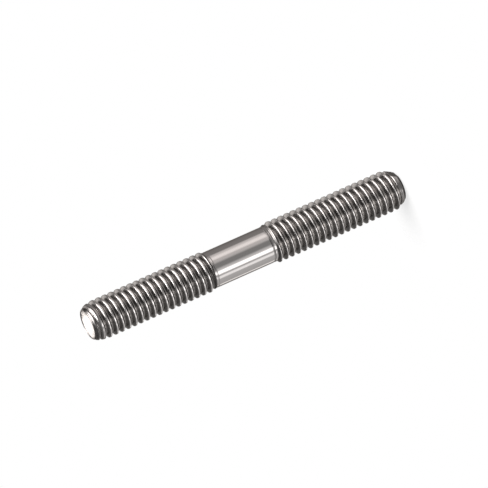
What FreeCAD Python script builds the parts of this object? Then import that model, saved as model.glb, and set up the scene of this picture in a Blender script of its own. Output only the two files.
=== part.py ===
import FreeCAD, Part
import math
import os
from FreeCAD import Vector

# One steel rod with a rolled right-hand thread on each end and a plain waist between them.
# Millimetres. The axis is Z, the lower end face lies on Z = 0 and the upper end face on top.
rod_length = 50.0
lower_thread_length = 21.0
upper_thread_length = 19.2
thread_pitch = 1.0
flank_angle = 30.0            # degrees between a flank and a plane square to the axis
nominal_diameter = 6.0        # at this diameter the crest is an eighth of the pitch wide
lower_crest_diameter = 5.97
upper_crest_diameter = 5.80
shank_diameter = 5.32
lower_face_diameter = 3.36
upper_face_diameter = 4.26
lower_tip_diameter = 5.06     # where the rounded tip ends
upper_tip_diameter = 5.52
lower_tip_length = 0.6
upper_tip_length = 1.25
lower_runout_length = 2.4     # the crests have their full height from here on
upper_runout_length = 2.0
tip_steps = 3                 # cones that make up a rounded tip
crest_fade_length = 0.55      # where the crests sink into the waist
groove_fade_length = 0.9      # where the grooves rise to the waist
clearance = 0.05              # keeps a cutting or filling surface off the surface beside it
lower_start_angle = 11.0      # degrees, turns the thread round the axis
upper_start_angle = 58.0
steps_per_turn = 24           # flat pieces that a flank or a crest has in one turn

step_rise = thread_pitch / steps_per_turn
step_angle = 2 * math.pi / steps_per_turn


def on_helix(radius, height, steps):
    """The point a number of steps along the helix that starts at this height."""
    angle = steps * step_angle
    return Vector(radius * math.cos(angle), radius * math.sin(angle), height + steps * step_rise)


def flat(*corners):
    return Part.Face(Part.makePolygon([*corners, corners[0]]))


def flank(inner_start, outer_start, outer_end, inner_end):
    """One step of a flank. Its four corners lie on a screw surface, so two triangles fill it."""
    return [flat(inner_start, outer_start, outer_end), flat(inner_start, outer_end, inner_end)]


def lifted(face, step):
    """The same face after a number of steps up the screw."""
    copy = face.copy()
    copy.rotate(Vector(0, 0, 0), Vector(0, 0, 1), math.degrees(step * step_angle))
    copy.translate(Vector(0, 0, step * step_rise))
    return copy


def ridge_sizes(crest_radius):
    """Half the crest width, and the radius at which two neighbouring flanks meet."""
    slope = math.tan(math.radians(flank_angle))
    half_crest = thread_pitch / 16 + (nominal_diameter / 2 - crest_radius) * slope
    root_radius = crest_radius - (thread_pitch / 2 - half_crest) / slope
    return half_crest, root_radius


def screw_body(crest_radius, turns):
    """A ridge wound on itself: two flanks and a crest per turn, closed at both ends."""
    half_crest, root_radius = ridge_sizes(crest_radius)
    half_pitch = thread_pitch / 2
    root = [on_helix(root_radius, side * half_pitch, i) for side in (-1, 1) for i in (0, 1)]
    crest = [on_helix(crest_radius, side * half_crest, i) for side in (-1, 1) for i in (0, 1)]
    strips = flank(root[0], crest[0], crest[1], root[1])
    strips += flank(root[3], crest[3], crest[2], root[2])
    strips.append(flat(crest[0], crest[1], crest[3], crest[2]))
    centre = [Vector(0, 0, -half_pitch), Vector(0, 0, step_rise - half_pitch), Vector(0, 0, half_pitch)]
    cap = [flat(centre[0], root[0], root[1]), flat(centre[0], root[1], centre[1])]
    section = flat(centre[0], root[0], crest[0], crest[2], root[2], centre[2])
    steps = turns * steps_per_turn
    faces = [section, lifted(section, steps)]
    for step in range(steps):
        faces += [lifted(strip, step) for strip in strips]
    for step in range(steps_per_turn):
        faces += [lifted(piece, step) for piece in cap]
        faces += [lifted(piece, steps + step) for piece in cap]
    shell = Part.makeShell(faces)
    shell.sewShape(1e-4)
    return Part.Solid(shell.Shells[0])


def turned(points):
    """The solid swept by a profile of (radius, height) points, given from bottom to top."""
    profile = [Vector(0, 0, points[0][1])]
    profile += [Vector(radius, 0, height) for radius, height in points]
    profile += [Vector(0, 0, points[-1][1])]
    return flat(*profile).revolve(Vector(0, 0, 0), Vector(0, 0, 1), 360)


def rounded_tip(face_radius, tip_radius, tip_length):
    """Points of the tip's profile, steep at the end face and along the axis at the other end."""
    shares = [step / tip_steps for step in range(tip_steps + 1)]
    rise = tip_radius - face_radius
    return [(face_radius + rise * (1 - (1 - share) ** 2), tip_length * share) for share in shares]


def threaded_end(crest_radius, length, tip, runout_length, start_angle):
    """A threaded end with its tip on Z = 0, rounded at the tip and sinking into the waist."""
    tip_radius, tip_length = tip[-1]
    shank_radius = shank_diameter / 2
    screw = screw_body(crest_radius, math.ceil(length / thread_pitch) + 2)
    screw.translate(Vector(0, 0, -thread_pitch))
    screw.rotate(Vector(0, 0, 0), Vector(0, 0, 1), start_angle)
    # the limit stands a little outside the crests, so that the crests keep their own surface
    runout_slope = (crest_radius - tip_radius) / (runout_length - tip_length)
    fade_slope = (crest_radius - shank_radius) / crest_fade_length
    overlap = thread_pitch / 4
    limit = turned([
        *tip,
        (crest_radius + clearance, runout_length + clearance / runout_slope),
        (crest_radius + clearance, length - crest_fade_length - clearance / fade_slope),
        (shank_radius - overlap * fade_slope, length + overlap),
    ])
    return screw.common(limit)


def waist():
    """The plain cylinder between the threads, with a cone at each end that fills the grooves."""
    shank_radius = shank_diameter / 2
    lower_root = ridge_sizes(lower_crest_diameter / 2)[1] - clearance
    upper_root = ridge_sizes(upper_crest_diameter / 2)[1] - clearance
    return turned([
        (lower_root, lower_thread_length - groove_fade_length),
        (shank_radius, lower_thread_length),
        (shank_radius, rod_length - upper_thread_length),
        (upper_root, rod_length - upper_thread_length + groove_fade_length),
    ])


os.makedirs("parts", exist_ok=True)
lower_tip = rounded_tip(lower_face_diameter / 2, lower_tip_diameter / 2, lower_tip_length)
upper_tip = rounded_tip(upper_face_diameter / 2, upper_tip_diameter / 2, upper_tip_length)
lower_end = threaded_end(
    lower_crest_diameter / 2, lower_thread_length, lower_tip, lower_runout_length, lower_start_angle
)
upper_end = threaded_end(
    upper_crest_diameter / 2, upper_thread_length, upper_tip, upper_runout_length, upper_start_angle
)
upper_end.rotate(Vector(0, 0, 0), Vector(1, 0, 0), 180)
upper_end.translate(Vector(0, 0, rod_length))

rod = waist().fuse([lower_end, upper_end])
rod.exportStep("parts/double_end_stud.step")
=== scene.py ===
import math

import bpy
import numpy as np
from mathutils import Matrix, Vector


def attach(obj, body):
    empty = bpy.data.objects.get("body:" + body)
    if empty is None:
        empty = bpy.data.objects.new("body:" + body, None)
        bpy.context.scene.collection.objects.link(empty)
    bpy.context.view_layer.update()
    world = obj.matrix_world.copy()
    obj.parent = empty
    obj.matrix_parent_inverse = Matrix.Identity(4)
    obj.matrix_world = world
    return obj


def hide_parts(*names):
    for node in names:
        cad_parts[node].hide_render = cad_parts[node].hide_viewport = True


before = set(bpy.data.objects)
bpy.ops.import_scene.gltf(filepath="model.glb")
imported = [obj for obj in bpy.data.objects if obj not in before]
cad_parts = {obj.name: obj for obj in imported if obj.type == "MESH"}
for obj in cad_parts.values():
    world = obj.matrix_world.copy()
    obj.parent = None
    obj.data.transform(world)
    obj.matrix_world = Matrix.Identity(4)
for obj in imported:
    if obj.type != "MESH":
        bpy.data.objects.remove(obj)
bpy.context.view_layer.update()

millimetre = 0.001
white = (1.0, 1.0, 1.0, 1.0)
rayOutputs = {"glossy": 3, "transmission": 6}      # places among the outputs of Light Path
objectPlace = 3                                    # and of Texture Coordinate
attributeOutputs = {"vector": 1, "number": 2}      # and of Attribute
scene = bpy.context.scene
scene.view_settings.view_transform = "Standard"
print("frame loaded")


# one output socket: each operator on it adds a Math node to the same tree
class Wire:
    def __init__(self, shop, socket):
        self.shop, self.socket = shop, socket

    def maths(self, operation, *terms):
        return self.shop.node("ShaderNodeMath", {"operation": operation}, *terms)

    def out(self, index):
        return Wire(self.shop, self.socket.node.outputs[index])

    def __add__(self, other):
        return self.maths("ADD", self, other)

    def __radd__(self, other):
        return self.maths("ADD", other, self)

    def __sub__(self, other):
        return self.maths("SUBTRACT", self, other)

    def __rsub__(self, other):
        return self.maths("SUBTRACT", other, self)

    def __mul__(self, other):
        return self.maths("MULTIPLY", self, other)

    def __rmul__(self, other):
        return self.maths("MULTIPLY", other, self)

    def __truediv__(self, other):
        return self.maths("DIVIDE", self, other)

    def __rtruediv__(self, other):
        return self.maths("DIVIDE", other, self)


# makes the nodes of one material or world
class Shop:
    def __init__(self, owner):
        owner.use_nodes = True
        self.tree = owner.node_tree
        self.tree.nodes.clear()

    # settings go in first, then the sockets by order, then the sockets by name
    def node(self, kind, settings, *inputs, output=0, **named):
        made = self.tree.nodes.new(kind)
        for name, value in settings.items():
            setattr(made, name, value)
        for socket, value in zip(made.inputs, inputs):
            self.fill(socket, value)
        for name, value in named.items():
            self.fill(made.inputs[name.replace("_", " ")], value)
        return Wire(self, made.outputs[output]) if len(made.outputs) else made

    # a wire is linked, a value is set, and None leaves the socket as it is
    def fill(self, socket, value):
        if isinstance(value, Wire):
            self.tree.links.new(value.socket, socket)
        elif value is not None:
            socket.default_value = value

    # 0 below low and 1 above high, with a soft step between
    def smooth(self, value, low, high):
        settings = {"interpolation_type": "SMOOTHSTEP"}
        return self.node("ShaderNodeMapRange", settings, value, low, high, 0.0, 1.0)

    # layered noise round a half
    def noise(self, place, scale, detail=2.0, roughness=0.5):
        return self.node(
            "ShaderNodeTexNoise", {}, place, Scale=scale, Detail=detail, Roughness=roughness,
        )

    # from the first colour to the second by a share: the node's inputs 6 and 7, its output 2
    def blend(self, share, first, second):
        gap = (None,) * 5
        colours = (*gap, first, second)
        return self.node("ShaderNodeMix", {"data_type": "RGBA"}, share, *colours, output=2)

    # a vector times one number for each axis
    def stretch(self, place, scales):
        return self.node("ShaderNodeVectorMath", {"operation": "MULTIPLY"}, place, scales)

    # what the mesh carries under this name
    def carried(self, name, form="number"):
        settings = {"attribute_name": name}
        return self.node("ShaderNodeAttribute", settings, output=attributeOutputs[form])


# lengths in millimetres, angles in degrees; the rod stands on its lower end
rod = {
    "length": 50.0,
    "pitch": 1.0,
    "flankAngle": 30.0,          # each flank to the plane square to the axis
    "nominalRadius": 3.0,        # here the crest is an eighth of the pitch wide
    "rootRound": 0.08,           # radius of the round bottom of the groove
    "shankRadius": 2.66,
    "edgeRound": 0.18,           # radius between end face and tip
    "lipHeight": 0.09,           # the rim stands this much over the end face
    "lipWidth": 0.03,
    "lipWall": 0.05,
    "lipLevel": 0.8,             # mean share of that height
    "lipWaves": ((3, 0.1, 0.08), (7, 0.6, 0.08)),     # waves in a turn, shift and share
    "crestFade": 0.3,            # the crest sinks to the shank over this length
    "grooveFade": 0.9,           # the groove rises to the shank over this length
    "grooveFloor": 2.2,          # from this radius
    "tipBlend": 0.03,            # width of the rounded corner between thread and tip
    "shankBlend": 0.02,          # and between thread and shank
    "nicks": ((21.42, 0.045), (30.48, 0.02)),         # two shallow rings: height and depth
    "nickWidth": 0.3,
    # flat cut on one side of the lower tip: its middle from +X, its distance from the axis at the
    # end face and the growth with height, and the least cosine, which keeps it on its own side
    "cut": {"side": -32.0, "reach": 1.95, "slope": 0.55, "leastFacing": 0.3},
    "lower": {
        "length": 21.0, "crest": 2.985, "crestRound": 0.05, "start": -11.0,
        "face": 1.84, "tip": 2.47, "tipLength": 0.6, "runout": 1.6,
    },
    "upper": {
        "length": 19.2, "crest": 2.90, "crestRound": 0.12, "start": 58.0,
        "face": 2.13, "tip": 2.76, "tipLength": 1.25, "runout": 2.0,
    },
    "columns": 96,               # faces round the rod
    "roundNodes": 4,             # rows on each round of the thread form
    "flankNodes": 5,
    "shankRows": 24,
    "nickRows": 11,
    "edgeRings": 4,
    "wallRings": 6,
    "faceRings": (0.85, 0.7, 0.5, 0.28, 0.1, 0.0),    # shares of the face's radius
}


# half the flat top of the ridge: half the crest width, less what its rounded corner takes
def crestFlat(end):
    flank = math.radians(rod["flankAngle"])
    half = rod["pitch"] / 16 + (rod["nominalRadius"] - end["crest"]) * math.tan(flank)
    return half - end["crestRound"] * math.tan((math.pi / 2 - flank) / 2)


# places along one pitch, in pitches from the crest: even steps of the turning angle on the rounds
# and of the height on the flanks
def formNodes(end):
    bend = math.radians(90 - rod["flankAngle"])
    angles = np.linspace(0, bend, rod["roundNodes"])
    top = crestFlat(end) + end["crestRound"] * np.sin(angles)
    bottom = rod["pitch"] / 2 - rod["rootRound"] * np.sin(angles[::-1])
    side = np.linspace(top[-1], bottom[0], rod["flankNodes"])[1:-1]
    half = np.concatenate([[0], top, side, bottom]) / rod["pitch"]
    return np.concatenate([half, 1 - half[-2:0:-1]])


# radius over the thread, by pitches from the crest: a flat crest, an arc, a straight flank and a
# root arc that touch one another
def threadRadius(turns, end):
    flank = math.radians(rod["flankAngle"])
    away = np.abs(turns - np.round(turns)) * rod["pitch"]
    crest, crestRound, rootRound = end["crest"], end["crestRound"], rod["rootRound"]
    sharpRoot = rod["nominalRadius"] - (rod["pitch"] * 7 / 16) / math.tan(flank)
    root = sharpRoot + rootRound * (1 / math.sin(flank) - 1)
    fromRoot = rod["pitch"] / 2 - away
    fromFlat = np.clip(away - crestFlat(end), 0, None)
    line = rod["nominalRadius"] - (away - rod["pitch"] / 16) / math.tan(flank)
    crestArc = crest - crestRound + np.sqrt(np.clip(crestRound**2 - fromFlat**2, 0, None))
    rootArc = root + rootRound - np.sqrt(np.clip(rootRound**2 - fromRoot**2, 0, None))
    radius = np.where(fromFlat < crestRound * math.cos(flank), crestArc, line)
    return np.where(fromRoot < rootRound * math.cos(flank), rootArc, radius)


# the lower of two heights, with the corner between them rounded over the given width
def smoothLower(first, second, width):
    gap = np.clip(0.5 + (second - first) / (2 * width), 0, 1)
    return second + (first - second) * gap - width * gap * (1 - gap)


# 0 to 1 with level ends: three squares less two cubes
def easeIn(value):
    share = np.clip(value, 0, 1)
    return share * share * (3 - 2 * share)


# largest radius near the end face: a parabola that starts steep at the face, then a straight
# run-out to the crest's full height
def tipRadius(fromEnd, end):
    share = np.clip(fromEnd / end["tipLength"], 0, 1)
    bow = end["face"] + (end["tip"] - end["face"]) * (1 - (1 - share) ** 2)
    slope = (end["crest"] - end["tip"]) / (end["runout"] - end["tipLength"])
    return bow + slope * np.clip(fromEnd - end["tipLength"], 0, None)


# radius over one threaded end, by distance from its face: the lowest of the thread form, the tip
# and a fade from crest to shank, and not under a line that rises from groove to shank
def endRadius(fromEnd, turns, end):
    radius = smoothLower(threadRadius(turns, end), tipRadius(fromEnd, end), rod["tipBlend"])
    left = end["length"] - fromEnd
    shank = rod["shankRadius"]
    beyond = np.clip(left - rod["crestFade"], 0, None) - np.clip(-left, 0, None)
    over = shank + (end["crest"] - shank) * easeIn(left / rod["crestFade"]) + beyond
    radius = smoothLower(radius, over, rod["shankBlend"])
    under = shank - (shank - rod["grooveFloor"]) * left / rod["grooveFade"]
    return -smoothLower(-radius, -under, rod["shankBlend"])


# radius of the shank: a cylinder less a ring of raised-cosine section near each end
def shankRadius(height):
    radius = np.full(height.shape, rod["shankRadius"])
    for nick, depth in rod["nicks"]:
        away = np.clip(np.abs(height - nick) / (rod["nickWidth"] / 2), 0, 1)
        radius -= depth * (0.5 + 0.5 * np.cos(math.pi * away))
    return radius


# radius of a plane that cuts the lower tip: its distance from the axis, which grows with height,
# over the cosine of the angle to its middle
def cutRadius(height, turn):
    cut = rod["cut"]
    facing = np.cos(2 * math.pi * turn - math.radians(cut["side"]))
    return (cut["reach"] + cut["slope"] * height) / np.clip(facing, cut["leastFacing"], 1)


# radius of the whole rod over height and turn, both threads winding the same way
def rodRadius(height, turn):
    lower, upper = rod["lower"], rod["upper"]
    winding = height / rod["pitch"] - turn
    low = endRadius(height, winding - lower["start"] / 360, lower)
    low = smoothLower(low, cutRadius(height, turn), rod["tipBlend"])
    high = endRadius(rod["length"] - height, winding - upper["start"] / 360, upper)
    radius = shankRadius(height)
    radius = np.where(height < lower["length"], low, radius)
    return np.where(height > rod["length"] - upper["length"], high, radius)


# where each part of the surface begins and the band over which it comes in, in millimetres
parts = {
    "step": 0.004,               # slopes are taken over this height to both sides
    "flankSlope": 1.4,           # from level up to this slope of the radius
    "farFromFace": 0.6,          # roots and grooves come in between one and two of these
    "rootRadius": 2.40,
    "rootBand": 0.07,
    "upperRoot": 0.4,            # share of the root in the upper thread
    "tipHeight": 0.75,           # under the upper face
    "tipBand": 0.4,
    "collarEnd": 0.15,           # from the shank into the thread
    "collarBand": 0.25,
    "crestRadius": 2.74,
    "crestBand": 0.1,
    "grooveBand": 0.2,
}


# share of each part of the thread form in a place: flanks that face down and up by the slope of
# the radius along the axis, roots by a low radius, crests by a high one, and the tip and the
# collars beside the shank by the height
def threadShares(height, turn):
    radius = rodRadius(height, turn)
    step, length, shank = parts["step"], rod["length"], rod["shankRadius"]
    slope = (rodRadius(height + step, turn) - rodRadius(height - step, turn)) / (2 * step)
    down, up = easeIn(slope / parts["flankSlope"]), easeIn(-slope / parts["flankSlope"])
    inside = easeIn(np.minimum(height, length - height) / parts["farFromFace"] - 1)
    root = easeIn((parts["rootRadius"] - radius) / parts["rootBand"]) * inside
    root *= np.where(height < length / 2, 1.0, parts["upperRoot"])
    tip = easeIn((height - length + parts["tipHeight"]) / parts["tipBand"])
    belowShank = rod["lower"]["length"] - height
    fromShank = np.maximum(belowShank, height - length + rod["upper"]["length"])
    collar = 1 - easeIn((fromShank - parts["collarEnd"]) / parts["collarBand"])
    crest = easeIn((radius - parts["crestRadius"]) / parts["crestBand"])
    crest = crest * (1 - down) * (1 - up) * (1 - collar)
    collar *= fromShank > 0
    deep = easeIn((shank - radius) / parts["grooveBand"]) * inside
    groove = np.maximum(np.maximum(down, up), deep)
    return {
        "down": down, "up": up, "root": root, "crest": crest,
        "groove": groove, "collar": collar, "tip": tip,
    }


# painted light and shade in the metal's colour, as a share of the plain steel's: painted
# highlights on the crests and the roots, painted shade on the flanks that face down and up, on
# the collars beside the shank and on the upper tip
paintedLightTones = {
    "shank": 1.0, "crest": 1.38, "down": 0.25, "up": 0.85, "root": 1.4, "collar": 0.27,
    "tip": 0.5, "lowerFace": 1.0, "upperFace": 1.0,
}

# roughness
finish = {
    "shank": 0.11, "crest": 0.19, "down": 0.2, "up": 0.24, "root": 0.22, "collar": 0.35,
    "tip": 0.3, "lowerFace": 0.2, "upperFace": 0.14,
    "rimBand": 0.1,              # both change over this width inside the rim of an end face
}


# one property over the whole skin: each part in its turn draws the value to its own by its share
def blended(shares, values):
    total = np.full(shares["crest"].shape, values["shank"])
    for part in ("crest", "down", "up", "root", "collar", "tip"):
        total += (values[part] - total) * shares[part]
    return total


# the same property carried over both end faces: from the tip's own value at the rim to the face's
def withFaces(skin, lowRadius, highRadius, values):
    sheets = [skin]
    for radii, edge, name in (
        (lowRadius, skin[0], "lowerFace"), (highRadius, skin[-1], "upperFace"),
    ):
        share = easeIn((radii[rod["edgeRings"]] - radii) / finish["rimBand"])
        sheets.append(edge + (values[name] - edge) * share)
    return np.concatenate([sheets[1][::-1], sheets[0], sheets[2]])


# heights of rows that follow the thread: whole number plus node plus turn, in pitches, cut off at
# two levels, with two pitches to spare beyond each
def helicalRows(bottom, top, end, turn):
    pitch = rod["pitch"]
    nodes = formNodes(end)
    start = end["start"] / 360
    first, last = math.floor(bottom / pitch - start), math.ceil(top / pitch - start)
    whole = np.arange(first - 2, last + 2)
    rows = np.sort((whole[:, None] + nodes[None, :]).ravel()) + start
    height = pitch * (rows[:, None] + turn[None, :])
    height = np.clip(height, bottom, top)
    height = height[(height.max(axis=1) > bottom) & (height.min(axis=1) < top)]
    return np.concatenate([np.full((1, len(turn)), bottom), height, np.full((1, len(turn)), top)])


# rings from the tip's rim to the centre: a quarter arc over the edge, a narrow lip, a steep wall
# down to the face, which lies lower by a wavy depth, and rings over which the waves die out
def endRings(edge, face, radii, turn):
    quarter = np.linspace(0, math.pi / 2, rod["edgeRings"] + 1)[1:, None]
    inner = radii - rod["edgeRound"]
    edgeRadius = inner + (radii - inner) * np.cos(quarter)
    edgeHeight = edge + (face - edge) * np.sin(quarter) + 0 * radii
    level = rod["lipLevel"]
    for count, shift, share in rod["lipWaves"]:
        level = level + share * np.sin(2 * math.pi * (count * turn + shift))
    depth = np.sign(edge - face) * rod["lipHeight"] * level
    share = np.linspace(0, 1, rod["wallRings"] + 1)[1:, None]
    lipRadius = inner[None] - rod["lipWidth"]
    wallRadius = lipRadius - rod["lipWall"] * share
    wallHeight = face + depth * easeIn(share)
    rings = np.array(rod["faceRings"])[:, None]
    floorHeight = face + depth.mean() + (depth - depth.mean()) * easeIn(2 * rings - 1)
    ringRadius = np.concatenate([edgeRadius, lipRadius, wallRadius, wallRadius[-1] * rings])
    ringHeight = np.concatenate([edgeHeight, 0 * lipRadius + face, wallHeight, floorHeight])
    return ringRadius, ringHeight


# closed mesh over a grid of points: corners that are equal to the fifth decimal of a millimetre
# become one, a face with two equal corners becomes a triangle, and one with more goes
def gridMesh(name, points, attributes):
    rows, columns = points.shape[:2]
    flat = np.round(points.reshape(-1, 3), 5)
    kept, first, index = np.unique(flat, axis=0, return_index=True, return_inverse=True)
    index = index.reshape(rows, columns)
    quads = np.stack([index[:-1, :-1], index[:-1, 1:], index[1:, 1:], index[1:, :-1]], axis=-1)
    quads = quads.reshape(-1, 4)
    repeats = quads == np.roll(quads, 1, axis=1)
    whole = quads[repeats.sum(axis=1) == 0]
    folded = quads[repeats.sum(axis=1) == 1]
    order = np.argsort(repeats[repeats.sum(axis=1) == 1], axis=1, kind="stable")
    triangles = np.take_along_axis(folded, np.sort(order[:, :3], axis=1), axis=1)
    mesh = bpy.data.meshes.new(name)
    mesh.vertices.add(len(kept))
    mesh.vertices.foreach_set("co", (kept * millimetre).ravel())
    corners = np.concatenate([whole.ravel(), triangles.ravel()])
    starts = [np.arange(len(whole)) * 4, whole.size + np.arange(len(triangles)) * 3]
    starts = np.concatenate(starts)
    mesh.loops.add(len(corners))
    mesh.loops.foreach_set("vertex_index", corners.astype(np.int32))
    mesh.polygons.add(len(starts))
    mesh.polygons.foreach_set("loop_start", starts.astype(np.int32))
    mesh.polygons.foreach_set("use_smooth", np.ones(len(starts), dtype=bool))
    mesh.update(calc_edges=True)
    for label, values in attributes.items():
        wide = values.ndim == 3
        layer = mesh.attributes.new(label, "FLOAT_VECTOR" if wide else "FLOAT", "POINT")
        picked = values.reshape(-1, values.shape[2])[first] if wide else values.ravel()[first]
        layer.data.foreach_set("vector" if wide else "value", picked.astype(np.float32).ravel())
    mesh.validate()
    return mesh


marks = {
    "across": 2.0,               # how fast they change with the radius
    "drift": 0.21,               # and from one turn to the next, per millimetre of height
    # dark spots left by the cut: turn of the middle, steepness, cut-off and strength
    "burrs": ((0.02, 1.3, 0.3, 1.0), (0.58, 2.0, 1.0, 0.5)),
    "burrRadius": 1.2,           # they come in from here
    "burrBand": 0.5,
    "burrHeight": 0.3,           # down from the upper face
}


# coordinates for marks that run along the thread: the radius, and a circle in place of the
# winding so that they meet again after a turn
def markCoordinates(radii, heights, turn):
    winding = 2 * math.pi * (heights / rod["pitch"] - turn)
    drift = heights * marks["drift"]
    across = radii * marks["across"]
    return np.stack([across, np.cos(winding) + drift, np.sin(winding) - drift], axis=-1)


# 1 near the rim of the upper face where the cut left its burrs and 0 elsewhere: an eased cosine
# of the turn times an eased step in the radius
def burrShare(radii, heights, turn):
    share = 0
    for middle, steepness, cutOff, strength in marks["burrs"]:
        facing = np.cos(2 * math.pi * (turn - middle))
        share = share + strength * easeIn(steepness * facing - cutOff)
    outer = easeIn((radii - marks["burrRadius"]) / marks["burrBand"])
    return share * outer * (heights > rod["length"] - marks["burrHeight"])


# the whole skin from end face to end face: rows that follow each thread, level rows on the shank
# and rings on the faces, each point at its radius round the axis
def makeRod():
    turn = np.linspace(0, 1, rod["columns"] + 1)
    edge = rod["edgeRound"]
    top = rod["length"]
    shankStart = rod["lower"]["length"]
    shankEnd = top - rod["upper"]["length"]
    lowerRows = helicalRows(edge, shankStart, rod["lower"], turn)
    upperRows = helicalRows(shankEnd, top - edge, rod["upper"], turn)
    rows = [np.linspace(shankStart, shankEnd, rod["shankRows"])[1:-1]]
    across = rod["nickWidth"] / 2 * np.linspace(-1, 1, rod["nickRows"])
    rows += [nick + across for nick, depth in rod["nicks"]]
    shankRows = np.sort(np.concatenate(rows))[:, None] + 0 * turn
    heights = np.concatenate([lowerRows, shankRows, upperRows])
    radii = rodRadius(heights, turn)
    shares = threadShares(heights, turn)
    # painted light and shade: each part's brightness from the table of tones, carried on the mesh
    # into the colour
    paintedLight = blended(shares, paintedLightTones)
    dull = blended(shares, finish)
    lowRadius, lowHeight = endRings(edge, 0.0, radii[0], turn)
    highRadius, highHeight = endRings(top - edge, top, radii[-1], turn)
    radii = np.concatenate([lowRadius[::-1], radii, highRadius])
    heights = np.concatenate([lowHeight[::-1], heights, highHeight])
    groove = np.concatenate([0 * lowRadius, shares["groove"], 0 * highRadius])
    paintedLight = withFaces(paintedLight, lowRadius, highRadius, paintedLightTones)
    dull = withFaces(dull, lowRadius, highRadius, finish)
    angle = 2 * math.pi * turn
    points = np.stack([radii * np.cos(angle), radii * np.sin(angle), heights], axis=-1)
    attributes = {
        "groove": groove, "paintedLight": paintedLight, "dull": dull,
        "burr": burrShare(radii, heights, turn), "marks": markCoordinates(radii, heights, turn),
    }
    piece = bpy.data.objects.new("rod", gridMesh("rod", points, attributes))
    scene.collection.objects.link(piece)
    return piece


rodPiece = makeRod()
print("rod skin", len(rodPiece.data.polygons), "faces")


steel = {
    "colour": (0.665, 0.632, 0.617, 1.0),
    "grooveColour": (0.655, 0.628, 0.61, 1.0),
    "edgeTint": (0.5, 0.48, 0.46, 1.0),    # share of the glancing reflection that is kept
    # fine grain all over, at a scale per metre
    "grain": {"scale": 2500.0, "detail": 3.0},
    "grainRough": 0.05,
    # marks that run along the thread, and how much they vary the grooves
    "streak": {"scale": 7.0, "detail": 4.0, "roughness": 0.6},
    "streakTone": 0.5,
    "streakRough": 0.2,
    "streakHeight": 2.0,                   # against the grain's
    # drawing marks along the rod, at scales per metre by axis
    "drawn": {"scale": 1.0, "detail": 3.0, "roughness": 0.6},
    "drawnAxes": (1800.0, 1800.0, 30.0),
    "drawnTone": 0.06,
    "drawnRough": 0.04,
    # dark spots of the burrs, per metre
    "spots": {"scale": 3200.0, "detail": 2.0},
    "spotEdge": (0.42, 0.54),
    "spotTone": 0.8,
    "bumpStrength": 0.05,
    "bumpHeight": 0.00002,                 # in metres
}


# steel whose grooves are streaked along the thread, with faint drawing marks along the shank:
# colour = tint x the painted light and shade carried on the mesh x (1 + streaks + marks) x (1 -
# spots), roughness = finish + the same marks
def brightSteel():
    material = bpy.data.materials.new("bright_steel")
    shop = Shop(material)
    place = shop.node("ShaderNodeTexCoord", {}, output=objectPlace)
    groove = shop.carried("groove")
    grain = shop.noise(place, **steel["grain"])
    streak = (shop.noise(shop.carried("marks", "vector"), **steel["streak"]) - 0.5) * groove
    drawn = shop.noise(shop.stretch(place, steel["drawnAxes"]), **steel["drawn"]) - 0.5
    vary = 1 + streak * steel["streakTone"] + drawn * steel["drawnTone"]
    spots = shop.smooth(shop.noise(place, **steel["spots"]), *steel["spotEdge"])
    vary = vary * (1 - shop.carried("burr") * spots * steel["spotTone"])
    tint = shop.blend(groove, steel["colour"], steel["grooveColour"])
    # the tint is scaled by painted highlights on crests and roots and painted shade on the
    # down-facing flanks, the collars and the upper tip
    colour = shop.node(
        "ShaderNodeVectorMath", {"operation": "SCALE"}, tint, Scale=shop.carried("paintedLight") * vary,
    )
    roughness = shop.carried("dull") + (grain - 0.5) * steel["grainRough"]
    roughness = roughness + streak * steel["streakRough"] + drawn * steel["drawnRough"]
    bump = shop.node(
        "ShaderNodeBump", {}, Strength=steel["bumpStrength"], Distance=steel["bumpHeight"],
        Height=grain + streak * steel["streakHeight"],
    )
    shader = shop.node(
        "ShaderNodeBsdfPrincipled", {},
        Base_Color=colour, Metallic=1.0, Roughness=roughness, Normal=bump,
        Specular_Tint=steel["edgeTint"],
    )
    shop.node("ShaderNodeOutputMaterial", {}, shader)
    return material


rodPiece.data.materials.append(brightSteel())
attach(rodPiece, "root")
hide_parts("double_end_stud")
print("rod dressed")


# azimuth is counted from the camera's side towards +X and latitude from the horizon, in degrees
studio = {
    "warm": (1.0, 0.965, 0.952, 1.0),      # tint of the light from the +X side
    "warmSide": (0.1, 0.7),                # it comes in between these shares of +X
    "below": 0.27,                         # light between the panels, under the horizon
    "above": 0.14,                         # and over it
    "horizon": (0.0, 0.3),
    "tiny": 0.0001,                        # keeps a root off zero straight up and down
    "overhead": {"azimuth": 68, "latitude": 61, "radius": 28, "soft": 16},
    "overheadStrength": 6.6,
    # tall panels, the gap among them: middle azimuth, half width, middle latitude, half height
    # and soft edge; then the strength, which is under zero for a dark flag
    "gap": (170, 11, -20, 4, 4),
    "panels": {
        "back": (168, 14, 18, 12, 8, 0.45),
        "behind": (180, 9, 18, 12, 9, 2.2),
        "backRight": (152, 16, 20, 14, 8, 0.6),
        "key": (66, 18, -18, 7, 14, 0.5),
        "keyWide": (46, 20, -20, 13, 20, 0.4),
        "keyLow": (60, 18, -36, 6, 8, 0.7),
        "side": (90, 42, -48, 14, 9, 0.3),
        "rim": (-38, 9, -26, 19, 11, 1.3),
        "rimWide": (-29, 15, -17, 10, 20, 0.45),
        "fill": (-69, 7, -18, 10, 10, 0.65),
        "left": (-90, 38, -24, 16, 12, 0.28),
        "far": (-134, 6, -18, 4, 7, 1.2),
        "backLeft": (-163, 12, -14, 16, 10, 0.25),
        "underBack": (176, 34, -46, 16, 10, -0.14),
        "flag": (0, 34, -52, 22, 8, -0.2),
    },
}


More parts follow.
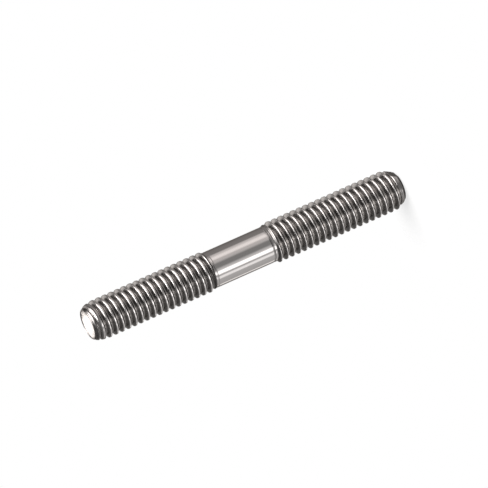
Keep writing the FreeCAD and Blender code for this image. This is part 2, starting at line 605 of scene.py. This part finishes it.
# 1 inside a round panel and 0 outside, by the cosine of the angle to its middle
def roundMask(shop, direction, azimuth, latitude, radius, soft):
    a, b = math.radians(azimuth), math.radians(latitude)
    aim = (math.sin(a) * math.cos(b), -math.cos(a) * math.cos(b), math.sin(b))
    settings = {"operation": "DOT_PRODUCT"}
    facing = shop.node("ShaderNodeVectorMath", settings, direction, aim, output=1)
    edge = [math.cos(math.radians(radius + side)) for side in (soft / 2, -soft / 2)]
    return shop.smooth(facing, *edge)


# 1 inside a tall panel and 0 outside, by the cosine of the azimuth to its middle and by the sine
# of the latitude; away is the direction's distance from the upright axis
def tallMask(shop, x, y, z, away, azimuth, width, latitude, height, soft):
    a, b = math.radians(azimuth), math.radians(latitude)
    facing = (x * math.sin(a) - y * math.cos(a)) / away
    edge = [math.cos(math.radians(width + side)) for side in (soft / 2, -soft / 2)]
    low = [math.sin(b - math.radians(height + side)) for side in (soft / 2, -soft / 2)]
    high = [math.sin(b + math.radians(height + side)) for side in (-soft / 2, soft / 2)]
    return shop.smooth(facing, *edge) * shop.smooth(z, *low) * (1 - shop.smooth(z, *high))


# the metal sees panels and dark flags, and through the gap behind the rod the white backdrop that
# the camera sees everywhere: light = sky + each panel's mask x its strength
def makeWorld():
    world = bpy.data.worlds.new("studio")
    scene.world = world
    shop = Shop(world)
    direction = shop.node("ShaderNodeTexCoord", {})
    x = shop.node("ShaderNodeSeparateXYZ", {}, direction)
    y, z = x.out(1), x.out(2)
    flat = x * x + y * y + studio["tiny"]
    axes = (x, y, z, flat.maths("SQRT", flat))
    sky = shop.smooth(z, *studio["horizon"])
    light = studio["below"] + (studio["above"] - studio["below"]) * sky
    overhead = roundMask(shop, direction, **studio["overhead"])
    light = light + overhead * studio["overheadStrength"]
    for *place, strength in studio["panels"].values():
        light = light + tallMask(shop, *axes, *place) * strength
    ray = shop.node("ShaderNodeLightPath", {})
    glossy, transmission = ray.out(rayOutputs["glossy"]), ray.out(rayOutputs["transmission"])
    seen = ray + (glossy + transmission) * tallMask(shop, *axes, *studio["gap"])
    tint = shop.blend(shop.smooth(x, *studio["warmSide"]), white, studio["warm"])
    around = shop.node("ShaderNodeBackground", {}, tint, light)
    backdrop = shop.node("ShaderNodeBackground", {}, white, 1.0)
    surface = shop.node("ShaderNodeMixShader", {}, seen, around, backdrop)
    shop.node("ShaderNodeOutputWorld", {}, surface)


makeWorld()
print("studio lit")


# lengths in millimetres
floorDisc = {
    "radius": 60.0,
    "sides": 64,
    "level": -0.02,
    "solid": 4.0,                     # opaque out to here
    "gone": 15.0,                     # and gone from here on
    "colour": (0.9, 0.9, 0.9, 1.0),
    "glow": 0.75,                     # share of plain white that the camera sees in it
    "mirrored": 0.1,                  # how much of it the metal shows
}


# a pale disc under the rod that keeps its shadow and fades into the backdrop by the distance from
# the middle
def makeFloor():
    angle = np.linspace(0, 2 * math.pi, floorDisc["sides"] + 1)[:-1]
    around = floorDisc["radius"] * np.stack([np.cos(angle), np.sin(angle)], axis=-1)
    corners = np.column_stack([around, np.full(len(angle), floorDisc["level"])]) * millimetre
    mesh = bpy.data.meshes.new("floor")
    mesh.from_pydata(corners.tolist(), [], [list(range(len(angle)))])
    floor = bpy.data.objects.new("floor", mesh)
    scene.collection.objects.link(floor)
    material = bpy.data.materials.new("pale_floor")
    shop = Shop(material)
    place = shop.node("ShaderNodeTexCoord", {}, output=objectPlace)
    distance = shop.node("ShaderNodeVectorMath", {"operation": "LENGTH"}, place, output=1)
    fade = [floorDisc[name] * millimetre for name in ("solid", "gone")]
    ray = shop.node("ShaderNodeLightPath", {})
    glossy, transmission = ray.out(rayOutputs["glossy"]), ray.out(rayOutputs["transmission"])
    seen = ray + glossy + transmission
    cover = (1 - shop.smooth(distance, *fade)) * (1 - (1 - floorDisc["mirrored"]) * glossy)
    matt = shop.node("ShaderNodeBsdfDiffuse", {}, floorDisc["colour"])
    glow = shop.node("ShaderNodeEmission", {}, white, 1.0)
    pale = shop.node("ShaderNodeMixShader", {}, seen * floorDisc["glow"], matt, glow)
    clear = shop.node("ShaderNodeBsdfTransparent", {})
    surface = shop.node("ShaderNodeMixShader", {}, cover, clear, pale)
    shop.node("ShaderNodeOutputMaterial", {}, surface)
    mesh.materials.append(material)


makeFloor()
print("floor laid")


camera = {
    "lens": 600.0,
    "farthest": 10.0,                 # metres
    "elevation": 18.0,
    "roll": (0.91365, 0.40651),       # in the picture the rod's lower end points right and up
    "pixelsPerMillimetre": 7.16,
    "frame": 488,
    "rodCentre": (244.1, 254.95),     # the pixel of the rod's middle, from the upper left
}


# a long lens at the photograph's angle: far enough for the scale, and moved sideways until the
# rod's middle is at its pixel
def makeCamera():
    data = bpy.data.cameras.new("camera")
    data.lens = camera["lens"]
    data.clip_end = camera["farthest"]
    e = math.radians(camera["elevation"])
    back = Vector((0.0, -math.cos(e), math.sin(e)))
    along = Vector((0.0, math.sin(e), math.cos(e)))
    across = Vector((1.0, 0.0, 0.0))
    rightward, upward = camera["roll"]
    right = -upward * across - rightward * along
    up = rightward * across - upward * along
    scale = millimetre / camera["pixelsPerMillimetre"]
    distance = camera["frame"] * scale * data.lens / data.sensor_width
    middle = camera["frame"] / 2
    offset = right * (middle - camera["rodCentre"][0]) * scale
    offset -= up * (middle - camera["rodCentre"][1]) * scale
    target = Vector((0.0, 0.0, rod["length"] / 2 * millimetre)) + offset
    turned = Matrix((right, up, back)).transposed().to_4x4()
    turned.translation = target + back * distance
    made = bpy.data.objects.new("camera", data)
    scene.collection.objects.link(made)
    made.matrix_world = turned
    scene.camera = made


makeCamera()
print("camera set")
